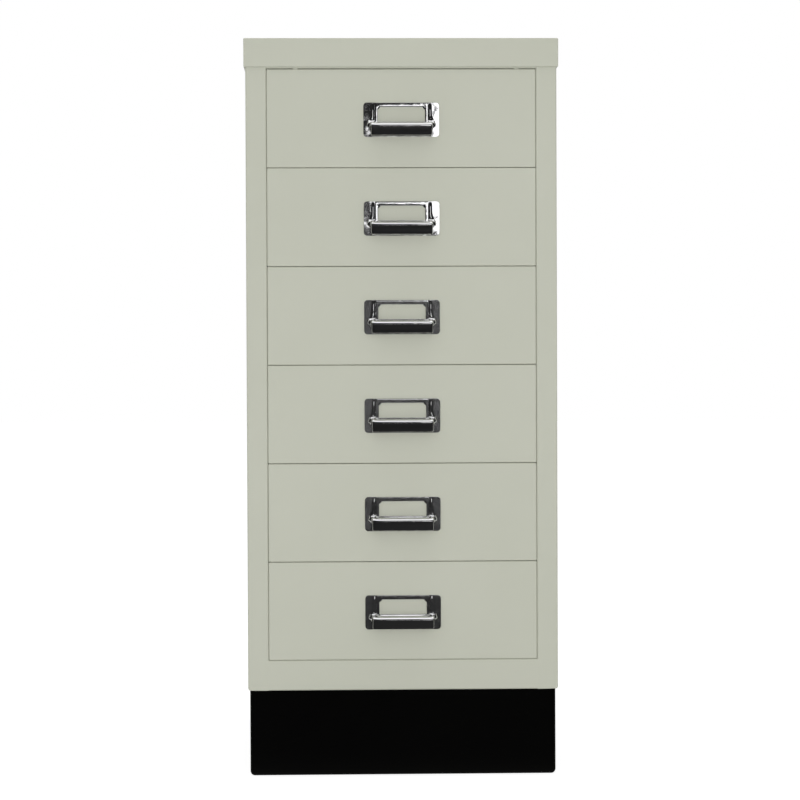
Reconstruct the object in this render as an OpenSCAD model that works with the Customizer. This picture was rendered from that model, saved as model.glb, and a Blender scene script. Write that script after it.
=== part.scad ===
// Small steel drawer cabinet: six shallow drawers between two front posts, a pressed top cap,
// a black plinth and chrome label pulls. Millimetres, +Z up, the front faces -Y.
// The origin lies on the floor, under the middle of the overall footprint.

/* [Carcass] */
// Width of the carcass over its side panels
body_w = 279; // [265:1:320]
// Depth of the carcass, from the face of the posts to the back
body_d = 380; // [340:5:460]
// Height of the carcass, from the plinth to the top of the cap
body_h = 585; // [540:5:700]
// Thickness of the carcass sheet
sheet = 0.9; // [0.7:0.1:1.1]
// Radius of the folds in the carcass sheet, at its middle
bend = 1.3; // [1:0.1:2]
// Width of each front post
post_w = 18.45; // [16:0.05:24]
// How much deeper the front posts are than the drawer fronts
post_extra = 4; // [2:0.5:10]
// Width of the flanges that hold the back panel
rear_flange_w = 16; // [10:1:24]
// Height of the rail below the lowest drawer
bottom_rail_h = 27.1; // [20:0.1:40]
// How far the lower edge of the top rail lies below the top of the cap
top_rail_drop = 26.6; // [26.5:0.1:32]
// Height of the turned-up edges of the base panel
base_flange_h = 12; // [8:1:16]

/* [Top cap] */
// Height of the skirt of the cap
cap_skirt_h = 25.7; // [20:0.1:26.1]
// How far the cap stands proud of the carcass all round
cap_over = 1.6; // [1.3:0.1:3]
// Radius of the upper edges and of the upright corners of the cap
cap_r = 2; // [1.5:0.1:3]
// Height of the hem that closes the skirt against the carcass
cap_hem_h = 2; // [1.8:0.1:4]

/* [Gap keepers] */
// Place of the left keeper, from the middle
keeper_left_x = 94.5; // [60:0.5:105]
// Place of the right keeper, from the middle
keeper_right_x = 103.5; // [60:0.5:105]
// Width of a keeper
keeper_w = 4.5; // [3:0.5:8]

/* [Plinth] */
// Height of the plinth
plinth_h = 78; // [50:1:120]
// How far the plinth lies inside the carcass at each side and at the back
plinth_inset = 2; // [0:0.5:10]
// How far the plinth lies behind the front face
plinth_recess = 8; // [4:1:40]
// Thickness of the plinth sheet
plinth_sheet = 1.2; // [1:0.1:1.8]
// Width of the plinth's inward flanges
plinth_flange_w = 24; // [20:1:40]
// Radius of the lower edges of the plinth
plinth_r = 4; // [2.5:0.5:8]
// Radius of the upright corners of the plinth
plinth_corner_r = 2.5; // [2:0.5:4]
// Distance of the plinth screws from the front and the back of the carcass
plinth_screw_d = 60; // [40:1:120]
// Diameter of the plinth screws
plinth_screw_dia = 6; // [4:0.5:8]

/* [Drawers] */
// Gap between two drawer fronts
drawer_gap = 1.2; // [0.8:0.1:3]
// Gap above the top drawer
top_gap = 1.5; // [1.3:0.1:4]
// Gap below the lowest drawer
bottom_gap = 0.7; // [0.5:0.1:3]
// Gap between a drawer front and each post
side_gap = 0.8; // [0.5:0.1:2]
// Thickness of the drawer sheet
drawer_sheet = 0.8; // [0.6:0.1:1.2]
// Depth of the hollow drawer fronts
front_d = 14; // [10:0.5:20]
// Radius of the edges round the face of a drawer front
front_r = 1.5; // [1.3:0.1:3]
// Width of the returns behind a drawer front
front_return_w = 10; // [8:0.5:20]
// Clearance between the rims of a tray and the posts
tray_clear = 1.25; // [0.8:0.05:3]
// Distance from a tray to the back of the carcass
tray_back_gap = 25; // [10:1:60]
// How far a tray's floor lies above the lower edge of its front
tray_lift = 4; // [2:0.5:8]
// How far a tray's rims lie below the upper edge of its front
tray_drop = 10; // [8:0.5:20]
// How far a tray's rims reach out over the runners
tray_rim_w = 6.8; // [5.5:0.1:9]
// Radius of the folds of a tray, at its outside
tray_r = 2; // [1.5:0.1:4]

/* [Runners] */
// Thickness of the runner sheet
runner_sheet = 1; // [0.8:0.1:1.5]
// Clear height inside a runner
runner_inner_h = 10; // [9:0.5:13]
// Clearance between a runner and the wall of a tray
runner_clear = 2.2; // [1.5:0.1:3]
// Thickness of the nylon pads that carry a tray's rims
pad_t = 4; // [2:0.1:5]
// Length of a nylon pad
pad_len = 25; // [15:1:40]
// Width of a nylon pad
pad_w = 12; // [8:0.5:14]
// Length of the nylon glides at the rear of the rims
glide_len = 30; // [20:1:45]
// Width of a nylon glide
glide_w = 15; // [11:0.5:17]
// Running clearance of the nylon parts
run_gap = 0.2; // [0.1:0.05:0.3]

/* [Pull] */
// Width of the pull
pull_w = 68; // [60:1:90]
// Height of the pull
pull_h = 30.8; // [30:0.1:40]
// Reach of the pull in front of the drawer
pull_reach = 13.5; // [11:0.5:18]
// Thickness of the plate and the hood of the pull
pull_t = 1.2; // [1:0.1:1.6]
// Radius of the corners of the pull's plate
pull_r = 3; // [2:0.5:5]
// How far the middle of the pull lies below the middle of its drawer front
pull_drop = 1.4; // [0:0.1:10]
// Width of the label window
window_w = 42; // [34:1:44]
// Height of the label window
window_h = 12.8; // [9:0.1:13]
// Height of the bar above the label window
window_bar = 4.2; // [3:0.1:6]
// Chamfer of the upper corners of the label window
window_chamfer = 2.5; // [1:0.1:4]
// Width of the finger hood
hood_w = 54; // [48:1:56]
// Radius of the corners of the hood, seen from above
hood_r = 8; // [5:0.5:9]
// Height of the front of the hood
hood_h = 10.3; // [8:0.1:10.8]
// How far the ridge of the hood lies below the label window
ridge_drop = 2.7; // [1.5:0.1:3.5]
// Width of the raised wing at each side of the pull
wing_w = 8.4; // [7:0.1:10]
// Reach of the wings in front of the drawer
wing_reach = 9; // [7:0.5:10.5]
// Diameter of the pull screws
pull_screw_dia = 3.5; // [2.5:0.1:3.8]

/* [Hidden] */
$fn = 48;
DRAWERS = 6;

PAINT = "#bec0b2";
BLACK = "#0b0b0b";
CHROME = "#d9dadb";
NYLON = "#e6e3d8";
ZINC = "#b9bcc0";

TINY = 0.01; // added to cuts, so that they leave no skin
hole_clear = 0.25; // radial clearance of a screw in a plain hole
thread_clear = 0.1; // radial clearance of a screw in its thread
stop_gap = 1.5 * run_gap; // clearance of a glide at its stops
seam_gap = 0.1; // gap beside a wall that is spot welded into a tray
cap_clear = 0.1; // how far the side panels end below the cap, clear of its inner radius

// Depths are measured from the front face, which the assembly puts at front_y.
overall_d = pull_reach + body_d + cap_over;
front_y = pull_reach - overall_d / 2;

top_z = plinth_h + body_h;
cap_under_z = top_z - sheet;
side_in_x = body_w / 2 - sheet;
post_in_x = body_w / 2 - post_w;
post_d = front_d + post_extra;
rail_d = post_d - 0.5; // where the flanges of the rails end
back_in_d = body_d - 2 * sheet;

bay_z = plinth_h + bottom_rail_h;
bay_h = body_h - bottom_rail_h - top_rail_drop;
front_h = (bay_h - top_gap - bottom_gap - (DRAWERS - 1) * drawer_gap) / DRAWERS;
front_x = post_in_x - side_gap;
function front_z(i) = bay_z + bottom_gap + (DRAWERS - i) * (front_h + drawer_gap);

// Heights on a drawer are measured from the lower edge of its front.
rim_x = post_in_x - tray_clear;
tray_x = rim_x - tray_rim_w;
tray_top = front_h - tray_drop;
rim_z = tray_top - drawer_sheet;
tray_rear_d = body_d - tray_back_gap;

runner_in_x = tray_x + runner_clear;
ledge_z = rim_z - run_gap - pad_t;
runner_stop_d = tray_rear_d + stop_gap;

pull_z = front_h / 2 - pull_drop;
window_top = pull_h / 2 - window_bar;
window_bottom = window_top - window_h;
ridge_y = window_bottom - ridge_drop;
hood_bottom = ridge_y - hood_h;
wing_in_x = pull_w / 2 - wing_w;
pull_screw_x = pull_w / 2 - wing_w / 2;
pull_thread_len = wing_reach / 2;

// ---------------------------------------------------------------- helpers

function unit(v) = v / norm(v);

// Extrudes an outline along an axis: it is drawn as (depth, z) for "x", (x, z) for "y"
// and (x, depth) for "z".
module along(axis, from, to) {
    if (axis == "x") translate([from, 0, 0]) rotate([90, 0, 90]) linear_extrude(to - from) children();
    if (axis == "y") translate([0, to, 0]) rotate([90, 0, 0]) linear_extrude(to - from) children();
    if (axis == "z") translate([0, 0, from]) linear_extrude(to - from) children();
}

// Sheet folded at right angles: the middle line of its section is path, with bends of radius r
module folded(axis, from, to, path, t, r = bend) {
    last = len(path) - 1;
    for (i = [0:last - 1]) {
        way = unit(path[i + 1] - path[i]);
        start = path[i] + (i == 0 ? 0 : r) * way;
        end = path[i + 1] - (i == last - 1 ? 0 : r) * way;
        along(axis, from, to) strip(start, end, t);
    }
    for (i = [1:last - 1])
        along(axis, from, to)
            quarter_bend(path[i], unit(path[i] - path[i - 1]), unit(path[i + 1] - path[i]), t, r);
}

// Section of a flat stretch of sheet, from a to b
module strip(a, b, t) {
    across = [a[1] - b[1], b[0] - a[0]] / norm(b - a) * t / 2;
    polygon([a + across, a - across, b - across, b + across]);
}

// Section of a fold at p, between the directions way_in and way_out
module quarter_bend(p, way_in, way_out, t, r) {
    centre = p + r * (way_out - way_in);
    reach = r + t;
    intersection() {
        difference() {
            translate(centre) circle(r + t / 2);
            translate(centre) circle(r - t / 2);
        }
        polygon([
            centre, centre + reach * way_in, centre + reach * (way_in - way_out), centre - reach * way_out
        ]);
    }
}

// Rectangle from lo to hi, with one radius at its lower corners and one at its upper corners
module soft_rect(lo, hi, r_low, r_high) {
    translate([lo[0], lo[1] + r_low]) square([hi[0] - lo[0], hi[1] - lo[1] - r_low - r_high]);
    if (r_low > 0) soft_edge(lo[0], hi[0], lo[1], 1, r_low);
    if (r_high > 0) soft_edge(lo[0], hi[0], hi[1], -1, r_high);
}

module soft_edge(x0, x1, y, way, r) {
    translate([x0 + r, min(y, y + way * r)]) square([x1 - x0 - 2 * r, r]);
    for (x = [x0 + r, x1 - r]) translate([x, y + way * r]) circle(r);
}

// Block from lo to hi, with radii at its lower edges, its upper edges and its upright corners
module soft_block(lo, hi, r_low, r_high, r_corner) {
    intersection() {
        along("y", lo[1], hi[1]) soft_rect([lo[0], lo[2]], [hi[0], hi[2]], r_low, r_high);
        along("x", lo[0], hi[0]) soft_rect([lo[1], lo[2]], [hi[1], hi[2]], r_low, r_high);
        along("z", lo[2], hi[2]) soft_rect([lo[0], lo[1]], [hi[0], hi[1]], r_corner, r_corner);
    }
}

module box(lo, hi) {
    translate(lo) cube(hi - lo);
}

module post(z0, z1, r) {
    translate([0, 0, z0]) cylinder(h = z1 - z0, r = r);
}

// Shapes are drawn for the right side and mirrored for the left
module on_side(s) {
    if (s == "left") mirror([1, 0, 0]) children();
    if (s == "right") children();
}

// ---------------------------------------------------------------- carcass

// Side panel with its hollow front post and the flange for the back panel
module side_panel(s) {
    half = sheet / 2;
    skin_x = body_w / 2 - half;
    color(PAINT) on_side(s) folded("z", plinth_h, cap_under_z - cap_clear, [
        [skin_x - rear_flange_w, body_d - half], [skin_x, body_d - half], [skin_x, half],
        [post_in_x + half, half], [post_in_x + half, post_d - half], [post_in_x + post_w / 2, post_d - half]
    ], sheet);
}

// Back panel between the folds of the side panels, with its upper edge turned forward under the cap
module back_panel() {
    panel_d = back_in_d + sheet / 2;
    turned_z = cap_under_z - sheet / 2;
    x = side_in_x - bend;
    color(PAINT) folded("x", -x, x, [
        [panel_d, plinth_h], [panel_d, turned_z], [panel_d - rear_flange_w, turned_z]
    ], sheet);
}

// Base panel with turned-up edges at its sides and its back, drilled for the plinth screws
module base_panel() {
    x = side_in_x;
    top = plinth_h + base_flange_h;
    color(PAINT) difference() {
        along("y", post_d, back_in_d) soft_rect([-x, plinth_h], [x, top], bend, 0);
        along("y", post_d - TINY, back_in_d - sheet)
            soft_rect([-x + sheet, plinth_h + sheet], [x - sheet, top + TINY], bend - sheet / 2, 0);
        at_plinth_screws() post(plinth_h - TINY, top, plinth_screw_dia / 2 + hole_clear);
    }
}

// Rail below the lowest drawer
module bottom_rail() {
    half = sheet / 2;
    color(PAINT) folded("x", -post_in_x, post_in_x, [
        [rail_d, plinth_h + half], [half, plinth_h + half], [half, bay_z - half],
        [rail_d - half, bay_z - half], [rail_d - half, bay_z - bottom_rail_h / 2]
    ], sheet);
}

// Rail above the top drawer, behind the skirt of the cap, with two pressed gap keepers
module top_rail() {
    half = sheet / 2;
    low_z = top_z - top_rail_drop;
    keeper_h = top_gap - stop_gap;
    color(PAINT) {
        folded("x", -post_in_x, post_in_x, [
            [rail_d, cap_under_z - half], [half, cap_under_z - half],
            [half, low_z + half], [rail_d, low_z + half]
        ], sheet);
        for (x = [-keeper_left_x, keeper_right_x])
            along("y", bend, post_d / 2) translate([x, low_z]) intersection() {
                circle(keeper_w / 2);
                translate([-keeper_w / 2, -keeper_h]) square([keeper_w, keeper_h + half]);
            }
    }
}

// Pressed cap that closes the carcass: a skirt all round, with a hem against the carcass
module top_cap() {
    x = body_w / 2 + cap_over;
    low_z = top_z - cap_skirt_h;
    wall = [sheet, sheet, sheet];
    inner_r = cap_r - sheet;
    color(PAINT) difference() {
        soft_block([-x, -cap_over, low_z], [x, body_d + cap_over, top_z], cap_over / 2, cap_r, cap_r);
        soft_block([-x, -cap_over, low_z + cap_hem_h - sheet] + wall, [x, body_d + cap_over, top_z] - wall,
            0, inner_r, inner_r);
        box([-body_w / 2, 0, low_z - TINY], [body_w / 2, body_d, low_z + cap_hem_h + TINY]);
    }
}

// ---------------------------------------------------------------- plinth

plinth_x = body_w / 2 - plinth_inset;
plinth_back_d = body_d - plinth_inset;
plinth_screw_x = plinth_x - plinth_flange_w / 2;
screw_head_h = 3.5;
nut_h = 5;

module at_plinth_screws() {
    for (x = [-plinth_screw_x, plinth_screw_x], d = [plinth_screw_d, body_d - plinth_screw_d])
        translate([x, d, 0]) children();
}

// The whole plinth: a folded sheet with flanges round the inside at its top and its bottom
module plinth_shell() {
    lo = [-plinth_x, plinth_recess, 0];
    hi = [plinth_x, plinth_back_d, plinth_h];
    wall = [plinth_sheet, plinth_sheet, plinth_sheet];
    flange = [plinth_flange_w, plinth_flange_w, -TINY];
    difference() {
        soft_block(lo, hi, plinth_r, 0, plinth_corner_r);
        soft_block(lo + wall, hi - wall, plinth_r - plinth_sheet, 0, plinth_corner_r - plinth_sheet);
        box(lo + flange, hi - flange);
        at_plinth_screws() post(plinth_h / 2, plinth_h + TINY, plinth_screw_dia / 2 + hole_clear);
    }
}

// One of the four panels of the plinth, mitred where they meet
module plinth_panel(side) {
    reach = plinth_flange_w * 1.5;
    x = plinth_x;
    d0 = plinth_recess;
    d1 = plinth_back_d;
    in_x = x - reach;
    color(BLACK) intersection() {
        plinth_shell();
        along("z", -TINY, plinth_h + TINY) {
            if (side == "front") polygon([[-x, d0], [x, d0], [in_x, d0 + reach], [-in_x, d0 + reach]]);
            if (side == "back") polygon([[-x, d1], [x, d1], [in_x, d1 - reach], [-in_x, d1 - reach]]);
            if (side == "left") polygon([[-x, d0], [-x, d1], [-in_x, d1 - reach], [-in_x, d0 + reach]]);
            if (side == "right") polygon([[x, d0], [x, d1], [in_x, d1 - reach], [in_x, d0 + reach]]);
        }
    }
}

module plinth_screws() {
    head_z = plinth_h + sheet;
    tip_z = plinth_h - plinth_sheet - nut_h - 1;
    color(ZINC) at_plinth_screws() {
        post(head_z, head_z + screw_head_h, 0.9 * plinth_screw_dia);
        post(tip_z, head_z + screw_head_h / 2, plinth_screw_dia / 2 - thread_clear);
    }
}

module plinth_nuts() {
    nut_z = plinth_h - plinth_sheet - nut_h;
    color(ZINC) at_plinth_screws() difference() {
        translate([0, 0, nut_z]) cylinder(h = nut_h, r = plinth_screw_dia * 0.96, $fn = 6);
        post(nut_z - TINY, nut_z + nut_h + TINY, plinth_screw_dia / 2);
    }
}

// ---------------------------------------------------------------- runners

// Channel on the side panel for the rim of a tray, closed by a stop tab at its rear end
module runner(s, i) {
    t = runner_sheet;
    web_x = side_in_x - t / 2;
    low_z = ledge_z - t / 2;
    high_z = ledge_z + runner_inner_h + t / 2;
    color(PAINT) translate([0, 0, front_z(i)]) on_side(s) {
        folded("y", post_d, runner_stop_d + t,
            [[runner_in_x, low_z], [web_x, low_z], [web_x, high_z], [runner_in_x, high_z]], t);
        box([runner_in_x + t, runner_stop_d, low_z], [web_x, runner_stop_d + t, high_z]);
    }
}

// Nylon pads clipped over the front end of each lower ledge; they carry the tray's rims
module runner_pads(s) {
    clip_t = 0.9;
    clip_w = 5;
    x = runner_in_x - clip_t;
    low_z = ledge_z - runner_sheet - clip_t;
    d0 = post_d + 1;
    color(NYLON) for (i = [1:DRAWERS]) translate([0, d0, front_z(i)]) on_side(s) {
        box([x, 0, ledge_z], [x + pad_w, pad_len, ledge_z + pad_t]);
        box([x, 0, low_z], [x + clip_t, pad_len, ledge_z + pad_t]);
        box([x, 0, low_z], [x + clip_w, pad_len, low_z + clip_t]);
    }
}

// ---------------------------------------------------------------- drawers

// Hollow drawer front: a pan with rounded face edges and returns behind it
module drawer_front(i) {
    t = drawer_sheet;
    back = front_return_w;
    color(PAINT) translate([0, 0, front_z(i)]) difference() {
        soft_front([-front_x, 0, 0], [front_x, front_d, front_h], front_r);
        soft_front([-front_x + t, t, t], [front_x - t, front_d - t, front_h - t], front_r - t);
        box([-front_x + back, front_d / 2, back], [front_x - back, front_d + TINY, front_h - back]);
        at_pull_screws() post(-2 * t, TINY, pull_screw_dia / 2 + hole_clear);
    }
}

// Block from lo to hi with a radius along the four edges of its front face
module soft_front(lo, hi, r) {
    intersection() {
        along("z", lo[2], hi[2]) soft_rect([lo[0], lo[1]], [hi[0], hi[1]], r, 0);
        along("x", lo[0], hi[0]) mirrored_rect([lo[1], lo[2]], [hi[1], hi[2]], r);
    }
}

// Rectangle from lo to hi with a radius at its two left corners
module mirrored_rect(lo, hi, r) {
    translate([lo[0] + r, lo[1]]) square([hi[0] - lo[0] - r, hi[1] - lo[1]]);
    translate([lo[0], lo[1] + r]) square([2 * r, hi[1] - lo[1] - 2 * r]);
    for (y = [lo[1] + r, hi[1] - r]) translate([lo[0] + r, y]) circle(r);
}

// Open tray: one folded sheet with rims that run in the runners, and a back wall set into it.
// Its front edges are welded to the returns of the hollow front.
module drawer_tray(i) {
    t = drawer_sheet;
    x = tray_x - t / 2;
    floor_z = tray_lift + t / 2;
    edge_z = tray_top - t / 2;
    wall_x = tray_x - t - seam_gap;
    color(PAINT) translate([0, 0, front_z(i)]) {
        folded("y", front_d, tray_rear_d, [
            [-rim_x, edge_z], [-x, edge_z], [-x, floor_z], [x, floor_z], [x, edge_z], [rim_x, edge_z]
        ], t, tray_r - t / 2);
        along("y", tray_rear_d - t, tray_rear_d)
            soft_rect([-wall_x, tray_lift + t + seam_gap], [wall_x, tray_top - t], tray_r, 0);
    }
}

// Nylon glides clipped on the rear ends of the rims
module drawer_glides(i) {
    x = runner_in_x + runner_sheet / 2;
    d = tray_rear_d - glide_len;
    low_z = ledge_z + stop_gap;
    high_z = ledge_z + runner_inner_h - stop_gap;
    color(NYLON) translate([0, 0, front_z(i)]) for (s = ["left", "right"]) on_side(s) difference() {
        box([x, d, low_z], [x + glide_w, tray_rear_d, high_z]);
        box([x - TINY, d - TINY, rim_z], [rim_x, tray_rear_d + TINY, tray_top]);
    }
}

// ---------------------------------------------------------------- pull

// The pull's own frame has x across, y up and z towards the user
module in_pull_frame() {
    translate([0, 0, pull_z]) rotate([90, 0, 0]) children();
}

module at_pull_screws() {
    in_pull_frame() for (x = [-pull_screw_x, pull_screw_x]) translate([x, 0, 0]) children();
}

// Plate with the label window
module pull_plate() {
    x = pull_w / 2;
    y = pull_h / 2;
    wx = window_w / 2;
    c = window_chamfer;
    linear_extrude(pull_t) difference() {
        soft_rect([-x, -y], [x, y], pull_r, pull_r);
        polygon([
            [-wx, window_bottom], [wx, window_bottom], [wx, window_top - c],
            [wx - c, window_top], [-wx + c, window_top], [-wx, window_top - c]
        ]);
    }
}

// Solid hood, inset by a wall: the plan has round corners, and the side view has a sloping top
// and a bulging front. The lower end is left open by low_y.
module hood_body(inset, low_y) {
    x = hood_w / 2 - inset;
    z = pull_reach - inset;
    r = hood_r - inset;
    bulge_r = 1.2 * hood_h;
    intersection() {
        along("y", low_y, window_bottom) {
            translate([-x, 0]) square([2 * x, z - r]);
            translate([-x + r, 0]) square([2 * (x - r), z]);
            for (cx = [-x + r, x - r]) translate([cx, z - r]) circle(r);
        }
        along("x", -x, x) intersection() {
            translate([ridge_y - hood_h / 2, pull_reach - bulge_r]) circle(bulge_r - inset);
            polygon([
                [low_y, 0], [low_y, pull_reach], [ridge_y - inset, pull_reach], [window_bottom - inset, 0]
            ]);
        }
    }
}

// Raised wings at both sides; they blend the plate into the ridge and hold the screws
module pull_wings() {
    out_x = pull_w / 2 - pull_t / 3;
    slope_x = wing_w / 4;
    for (s = ["left", "right"]) on_side(s) intersection() {
        along("x", wing_in_x, out_x) polygon([
            [pull_h / 2 - pull_r / 2, 0], [pull_h / 2 - pull_r / 2, pull_t],
            [ridge_y, wing_reach], [ridge_y - pull_t, wing_reach], [ridge_y - 2 * pull_t, 0]
        ]);
        along("y", -pull_h / 2, pull_h / 2) polygon([
            [wing_in_x, 0], [wing_in_x + slope_x / 2, wing_reach], [out_x - slope_x, wing_reach], [out_x, 0]
        ]);
    }
}

module drawer_pull(i) {
    color(CHROME) translate([0, 0, front_z(i)]) in_pull_frame() difference() {
        union() {
            pull_plate();
            difference() {
                hood_body(0, hood_bottom);
                hood_body(pull_t, hood_bottom - TINY);
            }
            pull_wings();
        }
        for (x = [-pull_screw_x, pull_screw_x])
            translate([x, 0, 0]) post(-TINY, pull_thread_len, pull_screw_dia / 2);
    }
}

// Screws that hold the pull, put in from behind the face of the drawer front
module drawer_screws(i) {
    head_h = 2.2;
    color(ZINC) translate([0, 0, front_z(i)]) at_pull_screws() {
        post(-drawer_sheet - head_h, -drawer_sheet, 0.9 * pull_screw_dia);
        post(-drawer_sheet - head_h / 2, pull_thread_len - 0.5, pull_screw_dia / 2 - thread_clear);
    }
}

// ---------------------------------------------------------------- assembly

// Puts the front face at its place, with the origin under the middle of the footprint
module placed() {
    translate([0, front_y, 0]) children();
}

placed() side_panel("left");  // side_left
placed() side_panel("right");  // side_right
placed() back_panel();
placed() base_panel();
placed() bottom_rail();
placed() top_rail();
placed() top_cap();
placed() plinth_panel("front");  // plinth_front
placed() plinth_panel("back");  // plinth_back
placed() plinth_panel("left");  // plinth_left
placed() plinth_panel("right");  // plinth_right
placed() plinth_screws();
placed() plinth_nuts();
placed() runner_pads("left");  // runner_pads_left
placed() runner_pads("right");  // runner_pads_right
for (i = [1:DRAWERS]) {
    placed() runner("left", i);
    placed() runner("right", i);
    placed() drawer_front(i);
    placed() drawer_tray(i);
    placed() drawer_pull(i);
    placed() drawer_glides(i);
    placed() drawer_screws(i);
}
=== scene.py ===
"""Looks of a small steel drawer cabinet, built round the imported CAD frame.

Sizes are in millimetres and are scaled to metres where a mesh is made. Depths are measured from
the face of the drawer fronts, which look towards -Y. Heights are measured from the floor.
"""
import math

import bmesh
import bpy
from mathutils import Matrix, Vector

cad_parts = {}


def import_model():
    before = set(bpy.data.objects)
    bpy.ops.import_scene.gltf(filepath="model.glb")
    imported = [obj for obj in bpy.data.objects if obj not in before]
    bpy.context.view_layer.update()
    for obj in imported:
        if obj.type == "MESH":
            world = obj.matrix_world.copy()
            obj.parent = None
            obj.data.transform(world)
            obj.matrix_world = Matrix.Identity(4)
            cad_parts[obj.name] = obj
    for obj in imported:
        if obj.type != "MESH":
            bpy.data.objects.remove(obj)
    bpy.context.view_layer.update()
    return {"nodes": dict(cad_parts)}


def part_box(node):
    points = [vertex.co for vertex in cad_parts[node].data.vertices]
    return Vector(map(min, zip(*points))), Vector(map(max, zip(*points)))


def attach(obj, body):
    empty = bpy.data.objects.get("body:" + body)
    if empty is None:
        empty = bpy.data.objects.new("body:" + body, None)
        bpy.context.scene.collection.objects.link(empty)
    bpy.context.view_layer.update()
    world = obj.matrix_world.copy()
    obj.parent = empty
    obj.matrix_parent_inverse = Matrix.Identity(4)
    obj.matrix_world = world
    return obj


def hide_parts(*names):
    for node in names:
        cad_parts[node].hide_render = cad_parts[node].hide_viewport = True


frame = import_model()
nodes = frame["nodes"]
scene = bpy.context.scene

MM = 0.001
MERGE = 1e-7  # points closer than this, in metres, are one
DRAWERS = range(1, 7)
SIDES = {"left": -1, "right": 1}


def box_mm(node):
    """Lowest and highest corner of a CAD node, in millimetres."""
    lo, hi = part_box(node)
    return lo / MM, hi / MM


# read from the CAD
FRONT_LO, FRONT_HI = box_mm("drawer_1_front")
SIDE_LO, SIDE_HI = box_mm("side_right")
FRONT_Y = FRONT_LO.y
FRONT_X = FRONT_HI.x
FRONT_H = FRONT_HI.z - FRONT_LO.z
BODY_X = SIDE_HI.x
BODY_D = SIDE_HI.y - FRONT_Y
BAY_X = box_mm("bottom_rail")[1].x
PLINTH_H = SIDE_LO.z
TOP_Z = box_mm("top_cap")[1].z

# carcass
SHEET = 0.9
BEND = 1.3  # radius of a fold at the middle of the sheet
SEAM_BEND = 1.0  # the same, beside the drawer fronts
FLANGE_W = 16  # rear flanges of the sides, upper flange of the back
POST_D = 18
POST_LIP = 9  # turned-out inner edge
POST_CLIP = 2.4  # round clip at its lower outer corner
RAIL_D = 17.5
RAIL_LIP = 13.5  # turned-down inner edge of the lower rail
RAIL_DROP = 26.6  # from the top of the cap to the lower edge of the upper rail
RAIL_FLARE = 1.4  # how far its face reaches over the posts
RAIL_SET_BACK = 0.05  # behind the face of the posts
KEEPERS = (-94.5, 103.5)  # x of the gap keepers below the upper rail
KEEPER_W = 4.5
KEEPER_D = (0.35, 9)  # depths at which they begin and end
BASE_FLANGE_H = 12
BASE_SHORT = 1.6  # how far before the back the floor of the base ends
BASE_LAP = 8  # of the base's rear edge on its floor
CAP_OVER = 1.6  # how far it reaches out over the carcass
CAP_R = 1.1
HEM_H = 2.0
HEM_R = 0.8
HEM_GAP = 0.03  # between the hem and the skin of the carcass

# how far coated edges reach into the seams, past the edges in the CAD
SNUG = 0.43  # level edges of the fronts
SNUG_SIDE = 0.35  # upright edges of the fronts and posts
SNUG_TOP = 0.62  # upper rail
SNUG_LOW = 0.2  # lower rail

# plinth
PLINTH_SHEET = 1.2
PLINTH_R = 4.2  # its lower edge
PLINTH_CORNER_R = 4  # its four corners, seen from above
PLINTH_FLANGE_W = 24
PLINTH_OUT = 0.55  # how much further out its sides are than in the CAD

# drawers
DRAWER_SHEET = 0.8
FRONT_D = 14
FRONT_R = 0.9  # edge round the face of a front
FRONT_BACK_R = 1.2
FRONT_CORNER_R = 0.9  # its four corners, seen from the front
RETURN_W = 10
RIM_W = 6.8
TRAY_BEND = 1.6
BACK_WALL_R = 1.3  # corners of the back wall of a tray
WELD_GAP = 0.1  # round that wall
PULL_LOW = 1.4  # how far the middle of a pull lies below the middle of its front
SCREW_R = 3.15  # head of a pull screw


# ---------------------------------------------------------------- materials

def new_material(name, **inputs):
    """Principled material, and the nodes to add its detail with."""
    material = bpy.data.materials.new(name)
    material.use_nodes = True
    tree = material.node_tree
    bsdf = tree.nodes["Principled BSDF"]
    for key, value in inputs.items():
        bsdf.inputs[key.replace("_", " ")].default_value = value
    return material, tree, bsdf


def bare_material(name):
    """Material whose surface is still to be linked, for things of the studio."""
    material, tree, bsdf = new_material(name)
    tree.nodes.remove(bsdf)
    return material, tree, tree.nodes["Material Output"].inputs["Surface"]


def node(tree, kind, **settings):
    """New node. A setting is the value of an input, or else a property."""
    made = tree.nodes.new(kind)
    for key, value in settings.items():
        if key in made.inputs:
            made.inputs[key].default_value = value
        else:
            setattr(made, key, value)
    return made


def object_coords(tree):
    return node(tree, "ShaderNodeTexCoord").outputs["Object"]


def noise_at(tree, coords, scale, detail=2.0):
    made = node(tree, "ShaderNodeTexNoise", Scale=scale, Detail=detail)
    tree.links.new(coords, made.inputs["Vector"])
    return made.outputs["Fac"]


def ramp(tree, value, low, high):
    """Maps 0..1 to a range of values."""
    made = node(tree, "ShaderNodeMapRange")
    made.inputs["To Min"].default_value = low
    made.inputs["To Max"].default_value = high
    tree.links.new(value, made.inputs["Value"])
    return made.outputs["Result"]


def tint(tree, value, dark, light):
    """Maps 0..1 to a colour between two."""
    made = node(tree, "ShaderNodeMix", data_type="RGBA")
    made.inputs["A"].default_value = (*dark, 1)
    made.inputs["B"].default_value = (*light, 1)
    tree.links.new(value, made.inputs["Factor"])
    return made.outputs["Result"]


def bump(tree, height, distance, below=None):
    """Normal of a surface that rises by a distance in metres, on top of another bump or not."""
    made = node(tree, "ShaderNodeBump", Distance=distance, Strength=1.0)
    tree.links.new(height, made.inputs["Height"])
    if below:
        tree.links.new(below, made.inputs["Normal"])
    return made.outputs["Normal"]


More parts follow.
